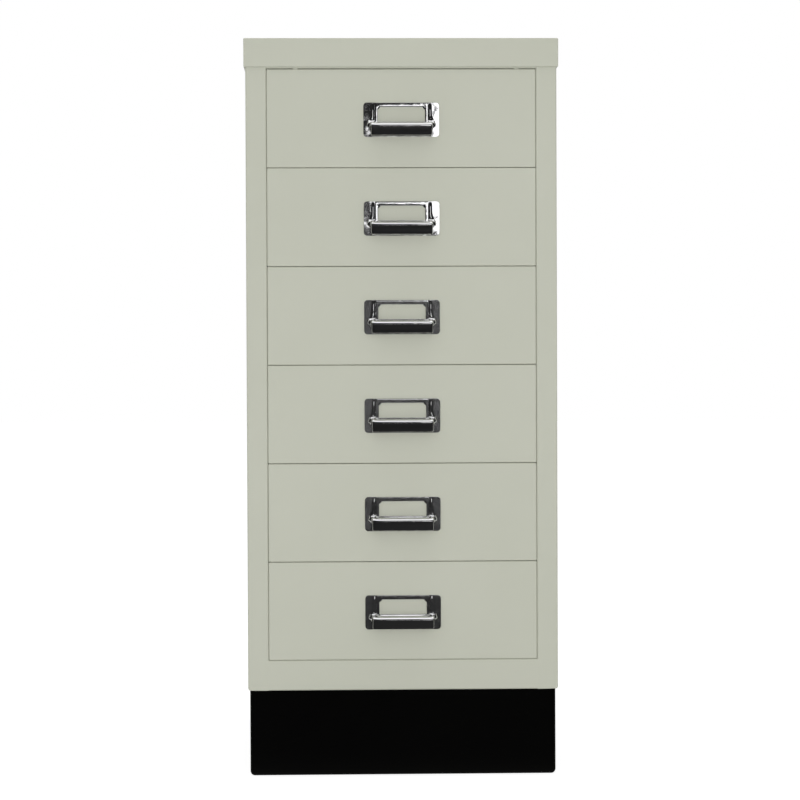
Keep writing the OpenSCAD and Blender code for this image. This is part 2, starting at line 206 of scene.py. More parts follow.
def powder_coat(name, dark, light, rough, speckle, gloss):
    """Satin powder coat: fine orange peel, long shallow waves of the sheet, uneven gloss."""
    material, tree, bsdf = new_material(name, Specular_IOR_Level=gloss)
    coords = object_coords(tree)
    cloud = noise_at(tree, coords, 9, 3)
    grain = noise_at(tree, coords, 1500, 1)
    both = node(tree, "ShaderNodeMath", operation="MULTIPLY_ADD")
    both.inputs[1].default_value = speckle
    tree.links.new(grain, both.inputs[0])
    tree.links.new(cloud, both.inputs[2])
    tree.links.new(tint(tree, both.outputs[0], dark, light), bsdf.inputs["Base Color"])
    tree.links.new(ramp(tree, noise_at(tree, coords, 60), *rough), bsdf.inputs["Roughness"])
    waves = bump(tree, noise_at(tree, coords, 14, 1), 0.0004)
    peel = bump(tree, noise_at(tree, coords, 620), 0.00003, waves)
    tree.links.new(peel, bsdf.inputs["Normal"])
    return material


def chrome():
    """Polished plating, slightly wavy from the pressing under it."""
    material, tree, bsdf = new_material("chrome", Metallic=1.0, Base_Color=(0.93, 0.93, 0.94, 1))
    coords = object_coords(tree)
    tree.links.new(ramp(tree, noise_at(tree, coords, 300), 0.03, 0.09), bsdf.inputs["Roughness"])
    waves = bump(tree, noise_at(tree, coords, 110, 1), 0.00012)
    fine = bump(tree, noise_at(tree, coords, 900), 0.000006, waves)
    tree.links.new(fine, bsdf.inputs["Normal"])
    return material


def cloudy(name, dark, light, cloud, rough, rough_scale, grain_scale, **inputs):
    """Uneven colour and gloss with a fine grain, for the small parts. cloud: scale and detail."""
    material, tree, bsdf = new_material(name, **inputs)
    coords = object_coords(tree)
    colour = tint(tree, noise_at(tree, coords, *cloud), dark, light)
    tree.links.new(colour, bsdf.inputs["Base Color"])
    gloss = ramp(tree, noise_at(tree, coords, rough_scale), *rough)
    tree.links.new(gloss, bsdf.inputs["Roughness"])
    grain = bump(tree, noise_at(tree, coords, grain_scale), 0.00002)
    tree.links.new(grain, bsdf.inputs["Normal"])
    return material


MATERIALS = {
    "paint": powder_coat("paint", dark=(0.500, 0.514, 0.425), light=(0.530, 0.541, 0.456),
                         rough=(0.40, 0.52), speckle=0.12, gloss=0.4),
    "plinth": powder_coat("plinth", dark=(0.0005, 0.0005, 0.0004), light=(0.0012, 0.0012, 0.0010),
                          rough=(0.5, 0.62), speckle=0.1, gloss=0.03),
    "chrome": chrome(),
    "nylon": cloudy("nylon", dark=(0.68, 0.65, 0.56), light=(0.78, 0.76, 0.68), cloud=(120, 2),
                    rough=(0.35, 0.5), rough_scale=400, grain_scale=1800, Subsurface_Weight=0.15),
    "zinc": cloudy("zinc", dark=(0.42, 0.43, 0.44), light=(0.62, 0.63, 0.66), cloud=(260, 3),
                   rough=(0.22, 0.42), rough_scale=500, grain_scale=1400, Metallic=1.0),
}


# ---------------------------------------------------------------- meshes

def at(x, depth, z):
    """A place in the row's frame, in metres."""
    return Vector((x, depth + FRONT_Y, z)) * MM


AXES = {
    "x": lambda u, v, w: at(w, u, v),
    "y": lambda u, v, w: at(u, w, v),
    "z": lambda u, v, w: at(u, v, w),
}


def to_mesh(bm, name):
    mesh = bpy.data.meshes.new(name)
    bm.to_mesh(mesh)
    bm.free()
    return mesh


def add_object(name, data):
    made = bpy.data.objects.new(name, data)
    scene.collection.objects.link(made)
    return made


def finish_piece(name, bm, slot, body, replaced, bevel=0.0):
    """Makes the object of a mesh: material, edges, the body it rides on, what it replaces."""
    bmesh.ops.remove_doubles(bm, verts=bm.verts, dist=MERGE)
    bmesh.ops.recalc_face_normals(bm, faces=bm.faces)
    piece = add_object(name, to_mesh(bm, name))
    piece.data.materials.append(MATERIALS[slot])
    dress_edges(piece, bevel)
    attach(piece, body)
    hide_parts(*replaced)


def soft_edges(piece, width):
    """Small bevels on all folds and edges sharper than 50 degrees."""
    soft = piece.modifiers.new("soft edges", "BEVEL")
    soft.width = width * MM
    soft.segments = 2
    soft.limit_method = "ANGLE"
    soft.angle_limit = math.radians(50)


def dress_edges(piece, bevel):
    """Soft or sharp edges, and normals that keep large faces flat."""
    piece.data.shade_smooth()
    if bevel:
        soft_edges(piece, bevel)
    else:
        piece.data.set_sharp_from_angle(angle=math.radians(50))
    even = piece.modifiers.new("even faces", "WEIGHTED_NORMAL")
    even.keep_sharp = True
    even.weight = 100


def fold_edges(path, t, bend, steps=5):
    """Both edges of the section of a folded sheet, whose middle line is path."""
    points = [Vector(p) for p in path]
    ways = [(b - a).normalized() for a, b in zip(points, points[1:])]
    left, right = [], []

    def add(p, way):
        across = Vector((-way.y, way.x)) * t / 2
        left.append(p + across)
        right.append(p - across)

    add(points[0], ways[0])
    for p, way_in, way_out in zip(points[1:-1], ways, ways[1:]):
        centre = p + bend * (way_out - way_in)
        for k in range(steps + 1):
            a = math.pi / 2 * k / steps
            add(centre + bend * (math.sin(a) * way_in - math.cos(a) * way_out),
                math.cos(a) * way_in + math.sin(a) * way_out)
    add(points[-1], ways[-1])
    return left, right


def skin(bm, a, b):
    """Faces between two closed rings of vertices."""
    n = len(a)
    for i in range(n):
        bm.faces.new((a[i], a[(i + 1) % n], b[(i + 1) % n], b[i]))


def unshifted(u, v, w):
    return u, v, w


def sweep(bm, axis, stations, path, t, bend=BEND, mirror=1, shift=unshifted):
    """Folded sheet along an axis. shift moves a point (u, v, w), such as to cut a corner."""
    left, right = fold_edges(path, t, bend)
    loop = left + right[::-1]
    rings = []
    for w in stations:
        rim = []
        for p in loop:
            q = AXES[axis](*shift(p.x, p.y, w))
            rim.append(bm.verts.new((q.x * mirror, q.y, q.z)))
        rings.append(rim)
    for a, b in zip(rings, rings[1:]):
        skin(bm, a, b)
    n = len(loop)
    for rim in (rings[0], rings[-1]):
        for i in range(len(left) - 1):
            bm.faces.new((rim[i], rim[i + 1], rim[n - 2 - i], rim[n - 1 - i]))


def folded_piece(name, axis, stations, path, replaced, bend=BEND, mirror=1, shift=unshifted):
    """Painted piece of the carcass that is one folded sheet."""
    bm = bmesh.new()
    sweep(bm, axis, stations, path, SHEET, bend, mirror, shift)
    finish_piece(name, bm, "paint", "carcass", replaced, 0.18)


def ring(x, lo, hi, r, steps=4):
    """Round-cornered rectangle from (-x, lo) to (x, hi), counterclockwise."""
    corners = ((x - r, hi - r), (-x + r, hi - r), (-x + r, lo + r), (x - r, lo + r))
    out = []
    for turn, (cx, cy) in enumerate(corners):
        for k in range(steps + 1):
            a = math.pi / 2 * (turn + k / steps)
            out.append((cx + r * math.cos(a), cy + r * math.sin(a)))
    return out


def loft(bm, loops, closed=True):
    """Skin over closed loops of as many points each, with or without its two ends."""
    rings = [[bm.verts.new(p) for p in loop] for loop in loops]
    for a, b in zip(rings, rings[1:]):
        skin(bm, a, b)
    if closed:
        bm.faces.new(rings[0])
        bm.faces.new(rings[-1])


def quarter(r, steps=4):
    """(inset, rise) along a quarter round that turns from a wall into a face."""
    angles = [math.pi / 2 * k / steps for k in range(steps + 1)]
    return [(r * (1 - math.cos(a)), r * math.sin(a)) for a in angles]


def prism(bm, outline, place, low, high):
    """Straight prism on an outline."""
    loft(bm, [[place(*p, level) for p in outline] for level in (low, high)])


# ---------------------------------------------------------------- carcass

def side_panel(side, sign):
    """Side, with its rear flange and its front post folded from one sheet."""
    half = SHEET / 2
    skin_x = BODY_X - half
    post_in = BAY_X + half - SNUG_SIDE
    path = [(skin_x - FLANGE_W, BODY_D - half), (skin_x, BODY_D - half), (skin_x, half),
            (post_in, half), (post_in, POST_D - half), (post_in + POST_LIP, POST_D - half)]

    def clipped(u, v, w):
        """The lower outer corner of the post is clipped round."""
        on_face, lowest = v < 3, w < PLINTH_H + 0.01
        if on_face and lowest:
            out = min(max(0.0, u - (BODY_X - POST_CLIP)), 0.98 * POST_CLIP)
            w += POST_CLIP - math.sqrt(POST_CLIP ** 2 - out ** 2)
        return u, v, w

    folded_piece(f"side_{side}_panel", "z", [PLINTH_H, PLINTH_H + 3, SIDE_HI.z], path,
                 [f"side_{side}"], SEAM_BEND, sign, clipped)


def back_panel():
    """Back, with its upper edge turned forward under the cap."""
    half = SHEET / 2
    x = box_mm("back_panel")[1].x
    d = BODY_D - 2 * SHEET + half
    top = box_mm("back_panel")[1].z - half
    path = [(d, PLINTH_H), (d, top), (d - FLANGE_W, top)]
    folded_piece("back_sheet", "x", [-x, x], path, ["back_panel"])


def base_panel():
    """Shallow pan. Its rear edge is an angle that is lapped on the floor of the pan."""
    half = SHEET / 2
    x = box_mm("base_panel")[1].x - half
    z = PLINTH_H + half
    edge_z = PLINTH_H + BASE_FLANGE_H
    rear = BODY_D - 2 * SHEET
    bm = bmesh.new()
    path = [(-x, edge_z), (-x, z), (x, z), (x, edge_z)]
    sweep(bm, "y", [POST_D, rear - BASE_SHORT], path, SHEET)
    in_x = x - BEND
    path = [(rear - BASE_LAP, z + SHEET), (rear - half, z + SHEET), (rear - half, edge_z)]
    sweep(bm, "x", [-in_x, in_x], path, SHEET)
    finish_piece("base_sheet", bm, "paint", "carcass", ["base_panel"], 0.18)


def flared(u, v, w):
    """The face of a rail is welded over the round edges of the posts."""
    on_face = u < 1
    return u, v, w + (math.copysign(RAIL_FLARE, w) if on_face else 0)


def lower_rail():
    """Rail below the lowest drawer, folded back at both edges."""
    half = SHEET / 2
    face = half + RAIL_SET_BACK
    back = RAIL_D - half
    low = PLINTH_H + half
    top = box_mm("bottom_rail")[1].z + SNUG_LOW
    path = [(RAIL_D, low), (face, low), (face, top - half), (back, top - half),
            (back, top - RAIL_LIP)]
    folded_piece("lower_rail", "x", [-BAY_X, BAY_X], path, ["bottom_rail"], SEAM_BEND,
                 shift=flared)


def upper_rail():
    """Rail over the top drawer, with the two keepers of the seam below it."""
    half = SHEET / 2
    face = half + RAIL_SET_BACK
    high = box_mm("top_rail")[1].z
    low = TOP_Z - RAIL_DROP - SNUG_TOP
    bm = bmesh.new()
    path = [(RAIL_D, high - half), (face, high - half), (face, low + half), (RAIL_D, low + half)]
    sweep(bm, "x", [-BAY_X, BAY_X], path, SHEET, shift=flared)
    drop = low - (FRONT_HI.z + SNUG)
    r = KEEPER_W / 2
    for x in KEEPERS:
        # rounded ends, and flat where it meets the top front
        outline = [(x + r * math.cos(a), low - drop * min(1, 1.5 * math.sin(a)))
                   for a in (math.pi * k / 12 for k in range(13))]
        outline += [(x - r, low + half), (x + r, low + half)]
        prism(bm, outline, AXES["y"], *KEEPER_D)
    finish_piece("upper_rail", bm, "paint", "carcass", ["top_rail"], 0.15)


def cap():
    """Pressed cap: inner skin, hem, outer skin and top, as one closed sheet."""
    low = box_mm("top_cap")[0].z
    inner = CAP_OVER - SHEET
    inner_r = CAP_R - SHEET
    # (how far out of the carcass, height), from the lower face round the hem to the upper face
    section = [(inner - 2.5, TOP_Z - SHEET)]
    section += [(inner - inset, TOP_Z - SHEET - inner_r + rise)
                for inset, rise in reversed(quarter(inner_r))]
    section += [(inner, low + HEM_H), (HEM_GAP, low + HEM_H), (HEM_GAP, low + 0.5)]
    section += [(HEM_R - (HEM_R - HEM_GAP) * math.cos(a), low + HEM_R - HEM_R * math.sin(a))
                for a in (math.pi * k / 8 for k in range(1, 8))]
    section += [(CAP_OVER - inset, TOP_Z - CAP_R + rise) for inset, rise in quarter(CAP_R, 6)]
    section += [(CAP_OVER - CAP_R - 3, TOP_Z)]
    loops = []
    for out, z in section:
        r = max(0.5, CAP_R - CAP_OVER + out)
        loops.append([at(u, v, z) for u, v in ring(BODY_X + out, -out, BODY_D + out, r, 5)])
    bm = bmesh.new()
    loft(bm, loops)
    finish_piece("cap_sheet", bm, "paint", "carcass", ["top_cap"])


def plinth():
    """Black folded plinth: one ring of sheet with flanges, cut into four panels at its mitres."""
    x = box_mm("plinth_right")[1].x + PLINTH_OUT
    near = box_mm("plinth_front")[0].y - FRONT_Y
    far = box_mm("plinth_back")[1].y - FRONT_Y
    t, r, flange, high = PLINTH_SHEET, PLINTH_R, PLINTH_FLANGE_W, PLINTH_H
    # (inset, height), up the outside and down the inside
    section = [(flange, 0), *[(inset, r - rise) for inset, rise in reversed(quarter(r, 6))],
               (0, high - 0.25), (0.07, high - 0.07), (0.25, high), (flange, high),
               (flange, high - t), (t + 0.4, high - t), (t, high - t - 0.4),
               *[(t + inset, r - rise) for inset, rise in quarter(r - t, 4)],
               (flange, t), (flange, 0)]
    loops = []
    for inset, z in section:
        outline = ring(x - inset, near + inset, far - inset, max(0.3, PLINTH_CORNER_R - inset), 6)
        loops.append([at(u, v, z) for u, v in outline])
    middle = (near + far) / 2
    corners = {"front": ((-x, near), (x, near)), "right": ((x, near), (x, far)),
               "back": ((x, far), (-x, far)), "left": ((-x, far), (-x, near))}
    for side, ends in corners.items():
        bm = bmesh.new()
        loft(bm, loops, closed=False)
        bmesh.ops.remove_doubles(bm, verts=bm.verts, dist=MERGE)
        for (u, v), turn in zip(ends, (1, -1)):
            inward = Vector((-math.copysign(1, u), -math.copysign(1, v - middle), 0))
            normal = Vector((inward.y, -inward.x, 0)) * turn
            everything = [*bm.verts, *bm.edges, *bm.faces]
            cut = bmesh.ops.bisect_plane(bm, geom=everything, plane_co=at(u, v, 0),
                                         plane_no=normal, dist=MERGE, clear_outer=True)
            rim = [part for part in cut["geom_cut"] if isinstance(part, bmesh.types.BMEdge)]
            bmesh.ops.triangle_fill(bm, edges=rim, use_beauty=True)
        finish_piece(f"plinth_{side}_sheet", bm, "plinth", "carcass", [f"plinth_{side}"])


# ---------------------------------------------------------------- drawers

def drawer_pan(i):
    """Hollow front: inner skin, returns, walls and face, as one closed sheet."""
    low = box_mm(f"drawer_{i}_front")[0].z
    t = DRAWER_SHEET
    # (inset, depth), from the inner skin over the returns to the face
    section = [(t + 4, t)]
    section += [(t + inset, FRONT_R - rise) for inset, rise in reversed(quarter(FRONT_R - t, 3))]
    section += [(t, FRONT_D - t), (RETURN_W, FRONT_D - t), (RETURN_W, FRONT_D)]
    section += [(inset, FRONT_D - FRONT_BACK_R + rise)
                for inset, rise in reversed(quarter(FRONT_BACK_R, 3))]
    section += [(inset, FRONT_R - rise) for inset, rise in quarter(FRONT_R, 5)]
    section += [(FRONT_R + 3, 0)]
    loops = []
    for inset, depth in section:
        x = FRONT_X + SNUG_SIDE - inset
        grow = SNUG - inset
        r = max(0.25, FRONT_CORNER_R - 0.1 * inset)
        outline = ring(x, low - grow, low + FRONT_H + grow, r, 3)
        loops.append([at(u, depth, v) for u, v in outline])
    bm = bmesh.new()
    loft(bm, loops)
    finish_piece(f"front_{i}_pan", bm, "paint", f"drawer_{i}", [f"drawer_{i}_front"])


def tray(i):
    """Folded tray: floor, walls and rims from one sheet, with a back wall welded into it."""
    lo, hi = box_mm(f"drawer_{i}_tray")
    t = DRAWER_SHEET
    half = t / 2
    wall_x = hi.x - RIM_W - half
    floor_z, top_z = lo.z + half, hi.z - half
    near, far = lo.y - FRONT_Y, hi.y - FRONT_Y
    bm = bmesh.new()
    path = [(-hi.x, top_z), (-wall_x, top_z), (-wall_x, floor_z), (wall_x, floor_z),
            (wall_x, top_z), (hi.x, top_z)]
    sweep(bm, "y", [near, far], path, t, TRAY_BEND)
    outline = ring(wall_x - half - WELD_GAP, lo.z + t + WELD_GAP, hi.z - t, BACK_WALL_R, 3)
    prism(bm, outline, AXES["y"], far - t, far)
    finish_piece(f"tray_{i}_sheet", bm, "paint", f"drawer_{i}", [f"drawer_{i}_tray"], 0.15)


# ---------------------------------------------------------------- pulls

# The bead beside the label window: across it, x and the share of its height.
BEAD = ((23.5, 0.0), (23.9, 0.22), (24.4, 0.5), (24.9, 0.76), (25.3, 0.93), (25.7, 1.0),
        (26.1, 0.95), (26.5, 0.8), (27.0, 0.5), (27.4, 0.25), (27.8, 0.06), (28.1, 0.0))
BEAD_FOOT = 0.7
# Half of the raised part of a pull, as ribs from its middle round the knob at the end of the ridge
# and up the bead. Each rib runs from the label frame over the crest to the lower or outer edge:
# (x, y up, z towards the user).
PULL_RIBS = [
    *[[(x, -1.5, 0.9), (x, -2.6, 1.9), (x, -3.7, 2.9), (x, -4.4, 4.2),
       (x, -4.2, 6.8), (x, -3.3, 9.6), (x, -3.1, 10.6), (x, -4.8, 12.35),
       (x, -5.8, 12.95), (x, -7.3, 12.75), (x, -11.8, 11.8), (x, -14.7, 10.9)]
      for x in (0.0, 10.0, 18.0)],
    [(21.6, -1.5, 0.9), (21.7, -2.5, 1.9), (21.9, -3.5, 2.9), (22.1, -4.1, 4.2),
     (22.3, -4.0, 6.6), (22.5, -3.3, 9.4), (22.6, -3.1, 10.5), (22.7, -4.8, 12.25),
     (22.7, -5.8, 12.9), (22.7, -7.3, 12.7), (22.7, -11.8, 11.75), (22.7, -14.7, 10.85)],
    [(22.6, -1.5, 0.9), (22.8, -2.3, 1.9), (23.3, -3.1, 2.9), (23.8, -3.5, 4.3),
     (24.2, -3.5, 6.5), (24.6, -3.0, 9.3), (24.8, -2.9, 10.4), (25.1, -4.7, 12.2),
     (25.1, -5.7, 12.8), (25.1, -7.3, 12.6), (25.1, -11.8, 11.65), (25.1, -14.7, 10.75)],
    [(23.0, -1.3, 0.9), (23.4, -2.0, 1.9), (24.0, -2.7, 2.9), (24.6, -3.0, 4.4),
     (25.1, -3.0, 6.5), (25.6, -2.6, 9.1), (25.9, -2.6, 10.1), (26.4, -4.5, 12.0),
     (26.5, -5.6, 12.65), (26.5, -7.3, 12.45), (26.5, -11.8, 11.5), (26.5, -14.7, 10.6)],
    [(23.2, -1.2, 0.9), (23.6, -1.8, 1.9), (24.3, -2.3, 3.0), (24.9, -2.6, 4.6),
     (25.5, -2.6, 6.6), (26.1, -2.4, 8.8), (26.5, -2.4, 9.8), (27.0, -4.4, 11.8),
     (27.1, -5.5, 12.45), (27.1, -7.3, 12.25), (27.1, -11.8, 11.3), (27.1, -14.7, 10.4)],
    [(23.3, -1.0, 0.9), (23.8, -1.5, 1.9), (24.5, -1.9, 3.1), (25.2, -2.2, 4.6),
     (25.9, -2.3, 6.4), (26.5, -2.2, 8.2), (27.0, -2.4, 9.4), (27.4, -4.3, 11.4),
     (27.45, -5.5, 12.05), (27.45, -7.3, 11.85), (27.45, -11.8, 10.9), (27.45, -14.7, 10.0)],
    [(23.35, -0.8, 0.9), (23.9, -1.3, 1.8), (24.7, -1.7, 2.9), (25.5, -2.0, 4.1),
     (26.2, -2.1, 5.4), (26.8, -2.2, 6.5), (27.15, -2.6, 7.6), (27.4, -4.2, 9.4),
     (27.4, -5.5, 9.9), (27.4, -7.4, 9.6), (27.4, -11.8, 8.7), (27.4, -14.7, 7.8)],
    [(23.4, -0.6, 0.9), (24.0, -1.05, 1.6), (24.8, -1.4, 2.4), (25.7, -1.7, 3.1),
     (26.4, -1.9, 3.6), (27.0, -2.2, 3.8), (27.3, -2.9, 3.8), (27.4, -4.2, 3.7),
     (27.4, -5.8, 3.1), (27.25, -8.2, 1.1), (27.2, -11.4, 0.6), (27.2, -14.7, 0.5)],
    [(23.45, -0.3, 0.9), (24.1, -0.7, 1.45), (24.9, -1.0, 2.0), (25.8, -1.3, 2.5),
     (26.7, -1.6, 2.9), (27.5, -2.1, 3.15), (28.2, -2.9, 3.3), (28.7, -4.2, 3.3),
     (28.8, -5.6, 2.7), (28.6, -6.8, 1.7), (28.4, -7.6, 0.9), (28.3, -8.0, 0.5)],
    [(23.5, 0.2, 0.9), (24.1, -0.1, 1.35), (24.9, -0.4, 1.75), (25.8, -0.7, 2.1),
     (26.8, -1.1, 2.35), (27.8, -1.6, 2.55), (28.8, -2.5, 2.65), (29.7, -3.7, 2.6),
     (30.2, -4.9, 2.2), (30.3, -6.0, 1.5), (30.2, -6.8, 0.9), (30.1, -7.2, 0.5)],
    [(23.5, 1.0, 0.9), (24.0, 0.8, 1.3), (24.7, 0.6, 1.65), (25.5, 0.3, 1.9),
     (26.4, 0.0, 2.05), (27.4, -0.5, 2.05), (28.7, -1.3, 1.9), (30.0, -2.4, 1.6),
     (31.0, -3.6, 1.3), (31.5, -4.7, 1.0), (31.7, -5.3, 0.7), (31.8, -5.6, 0.5)],
    [(23.5, 2.0, 0.9), (24.0, 1.9, 1.3), (24.6, 1.75, 1.7), (25.3, 1.6, 2.0),
     (26.0, 1.4, 2.1), (26.8, 1.1, 2.0), (27.6, 0.7, 1.6), (28.5, 0.2, 1.2),
     (29.2, -0.3, 0.95), (29.8, -0.8, 0.8), (30.1, -1.1, 0.65), (30.3, -1.3, 0.5)],
    *[[(x, y, BEAD_FOOT + (top - BEAD_FOOT) * share) for x, share in BEAD]
      for y, top in ((3.6, 1.95), (6.0, 1.9), (9.0, 1.85), (12.0, 1.6), (14.0, 1.2),
                     (15.2, 0.95))],
]
PLATE = (34.0, -15.4, 15.4)  # x, lower and upper edge of the base plate
PLATE_T = 0.9
PLATE_R = 3.0
LABEL_FRAME = (23.9, -3.0, 15.3)
WINDOW_X = 21.0
WINDOW = (-1.6, 11.2)  # lower and upper edge of the label window
WINDOW_CHAMFER = 2.6  # upper corners
WINDOW_R = 0.5  # lower corners
# (share of the way from the outer edge of the label frame to the window, z)
CROWN = ((0.0, 0.3), (0.01, 1.1), (0.06, 1.3), (0.15, 1.38), (0.3, 1.4), (0.7, 1.4), (0.85, 1.34),
         (0.95, 1.1), (1.0, 0.1))


def plate_ring(inset):
    """Outline of the base plate."""
    x, low, high = PLATE
    return ring(x - inset, low + inset, high - inset, PLATE_R - inset)


def window_ring(grow):
    """Window outline with as many points as the other rings: its upper corners are chamfered."""
    low, high = WINDOW
    x = WINDOW_X + grow
    corners = ((x, high + grow), (-x, high + grow), (-x, low - grow), (x, low - grow))
    out = []
    for turn, (cx, cy) in enumerate(corners):
        upper = turn < 2
        r = WINDOW_CHAMFER if upper else WINDOW_R
        sx = math.copysign(1, cx)
        sy = 1 if upper else -1
        for k in range(5):
            a = math.pi / 2 * (turn + k / 4)
            across, up = math.cos(a), math.sin(a)
            share = abs(across) + abs(up) if upper else 1
            out.append((cx - sx * r + r * (across / share), cy - sy * r + r * (up / share)))
    return out


def thickened(mesh):
    """Smooth sheet of 1 mm from the grid of the ribs."""
    holder = add_object("holder", mesh)
    sheet = holder.modifiers.new("sheet", "SOLIDIFY")
    sheet.thickness = 1.0
    sheet.offset = -1.0
    sheet.edge_crease_rim = 0.5
    sheet.use_even_offset = True
    smooth = holder.modifiers.new("smooth", "SUBSURF")
    smooth.levels = 2
    smooth.render_levels = 2
    depsgraph = bpy.context.evaluated_depsgraph_get()
    done = bpy.data.meshes.new_from_object(holder.evaluated_get(depsgraph))
    bpy.data.objects.remove(holder)
    bpy.data.meshes.remove(mesh)
    return done


def pull_mesh():
    """The pull in its own frame: x across, y up, z towards the user, in millimetres."""
    ribs = [[(-x, y, z) for x, y, z in rib] for rib in reversed(PULL_RIBS[1:])] + PULL_RIBS
    bm = bmesh.new()
    grid = [[bm.verts.new(p) for p in rib] for rib in ribs]
    for a, b in zip(grid, grid[1:]):
        for k in range(len(a) - 1):
            bm.faces.new((a[k], a[k + 1], b[k + 1], b[k]))
    shell = thickened(to_mesh(bm, "shell"))
    bm = bmesh.new()
    bm.from_mesh(shell)
    bpy.data.meshes.remove(shell)
    # base plate, with its hole hidden behind the label frame
    edge, hole = plate_ring(0), window_ring(0.9)
    levels = ((edge, 0.0), (edge, 0.75), (plate_ring(0.05), 0.86), (plate_ring(0.2), PLATE_T),
              (hole, PLATE_T), (hole, 0.0), (edge, 0.0))
    loft(bm, [[(x, y, z) for x, y in outline] for outline, z in levels], closed=False)
    # crowned label frame
    edges = list(zip(ring(*LABEL_FRAME, 0.3), window_ring(0)))
    loft(bm, [[(a[0] + (b[0] - a[0]) * share, a[1] + (b[1] - a[1]) * share, z) for a, b in edges]
              for share, z in CROWN], closed=False)
    bmesh.ops.remove_doubles(bm, verts=bm.verts, dist=MERGE / MM)
    return to_mesh(bm, "pull")


PULL = pull_mesh()


def pull(i):
    """The same pressing on each drawer, placed on its front."""
    mesh = PULL.copy()
    z = box_mm(f"drawer_{i}_front")[0].z + FRONT_H / 2 - PULL_LOW
    # from the pull's own frame to the row's, and from millimetres to metres
    mesh.transform(Matrix(((MM, 0, 0, 0), (0, 0, -MM, FRONT_Y * MM), (0, MM, 0, z * MM),
                           (0, 0, 0, 1))))
    bm = bmesh.new()
    bm.from_mesh(mesh)
    bpy.data.meshes.remove(mesh)
    finish_piece(f"pull_{i}_pressing", bm, "chrome", f"drawer_{i}", [f"drawer_{i}_pull"])


def pull_screws(i):
    """Two pan-head screws with cross recesses, which hold the pull from inside the front."""
    lo, hi = box_mm(f"drawer_{i}_screws")
    z = (lo.z + hi.z) / 2
    seat, end = DRAWER_SHEET, hi.y - FRONT_Y
    rim = seat + 0.2
    # (radius, depth, share by which the arms of the recess reach out)
    profile = [(1.15, -0.7, 0), (1.6, -0.35, 0), (1.6, seat, 0), (2.95, seat, 0), (SCREW_R, rim, 0)]
    profile += [(SCREW_R * math.cos(a), rim + (end - rim) * math.sin(a), 0)
                for a in (0.5, 0.8, 1.05)]
    profile += [(1.35, end, 0), (1.15, end - 0.12, 0.42), (0.5, end - 1.0, 0.42)]
    bm = bmesh.new()
    for middle in (lo.x + SCREW_R, hi.x - SCREW_R):
        loops = []
        for r, depth, arms in profile:
            loop = []
            for a in (math.tau * n / 32 for n in range(32)):
                out = r * (1 + arms * math.cos(4 * a))
                loop.append(at(middle + out * math.cos(a), depth, z + out * math.sin(a)))
            loops.append(loop)
        loft(bm, loops)
    finish_piece(f"pull_{i}_screws", bm, "zinc", f"drawer_{i}", [f"drawer_{i}_screws"])


# ---------------------------------------------------------------- carried-over nodes

def carry_over(name, slot, bevel=0.0):
    """Shows a node of the CAD itself, in its material."""
    piece = nodes[name]
    piece.data.materials.clear()
    piece.data.materials.append(MATERIALS[slot])
    for face in piece.data.polygons:
        face.material_index = 0
    if bevel:
        soft_edges(piece, bevel)


for side, sign in SIDES.items():
    side_panel(side, sign)
back_panel()
base_panel()
lower_rail()
upper_rail()
cap()
plinth()
for i in DRAWERS:
    drawer_pan(i)
    tray(i)
    pull(i)
    pull_screws(i)
    carry_over(f"drawer_{i}_glides", "nylon", 0.3)
for side in SIDES:
    carry_over(f"runner_pads_{side}", "nylon", 0.3)
    for i in DRAWERS:
        carry_over(f"runner_{side}_{i}", "paint")
for name in ("plinth_screws", "plinth_nuts"):
    carry_over(name, "zinc", 0.3)


# ---------------------------------------------------------------- camera

# from a fit of the photograph's edges and seams
CAMERA_ANGLES = (1.6233, -1.0181, -0.2179)  # yaw, pitch and roll in degrees
CAMERA_PLACE = (-67.26, FRONT_Y - 2300, 379.67)
CAMERA_LENS = 115.334


def camera():
    """The photograph's viewpoint."""
    yaw, pitch, roll = (math.radians(a) for a in CAMERA_ANGLES)
    ahead = Vector((math.sin(yaw) * math.cos(pitch), math.cos(yaw) * math.cos(pitch),
                    math.sin(pitch)))
    right = Vector((math.cos(yaw), -math.sin(yaw), 0))
    up = right.cross(ahead)
    rolled_right = math.cos(roll) * right + math.sin(roll) * up
    rolled_up = math.cos(roll) * up - math.sin(roll) * right
    data = bpy.data.cameras.new("camera")
    data.sensor_width = 36
    data.lens = CAMERA_LENS
    data.clip_start, data.clip_end = 0.05, 60
    made = add_object("camera", data)
    place = Matrix((rolled_right, rolled_up, -ahead)).transposed().to_4x4()
    place.translation = Vector(CAMERA_PLACE) * MM
    made.matrix_world = place
    scene.camera = made


# ---------------------------------------------------------------- light and surroundings, in metres

WHITE = (1, 1, 1, 1)
AMBIENT = 0.55  # ambient light on the object
FLOOR_GLOW = 0.82  # with what it reflects, the floor is nearly white to the camera


def light(name, place, aim, size, radiance):
    """Softbox: a rectangle of even radiance."""
    data = bpy.data.lights.new(name, "AREA")
    data.shape = "RECTANGLE"
    data.size, data.size_y = size
    data.energy = radiance * math.pi * size[0] * size[1]
    made = add_object(name, data)
    made.location = place
    made.rotation_mode = "QUATERNION"
    made.rotation_quaternion = (Vector(aim) - Vector(place)).to_track_quat("-Z", "Y")
    return made


def seen_directly(tree):
    """1 on camera, glossy and transmission rays."""
    path = node(tree, "ShaderNodeLightPath")
    total = path.outputs["Is Camera Ray"]
    for name in ("Is Glossy Ray", "Is Transmission Ray"):
        both = node(tree, "ShaderNodeMath", operation="MAXIMUM")
        tree.links.new(total, both.inputs[0])
        tree.links.new(path.outputs[name], both.inputs[1])
        total = both.outputs[0]
    return total


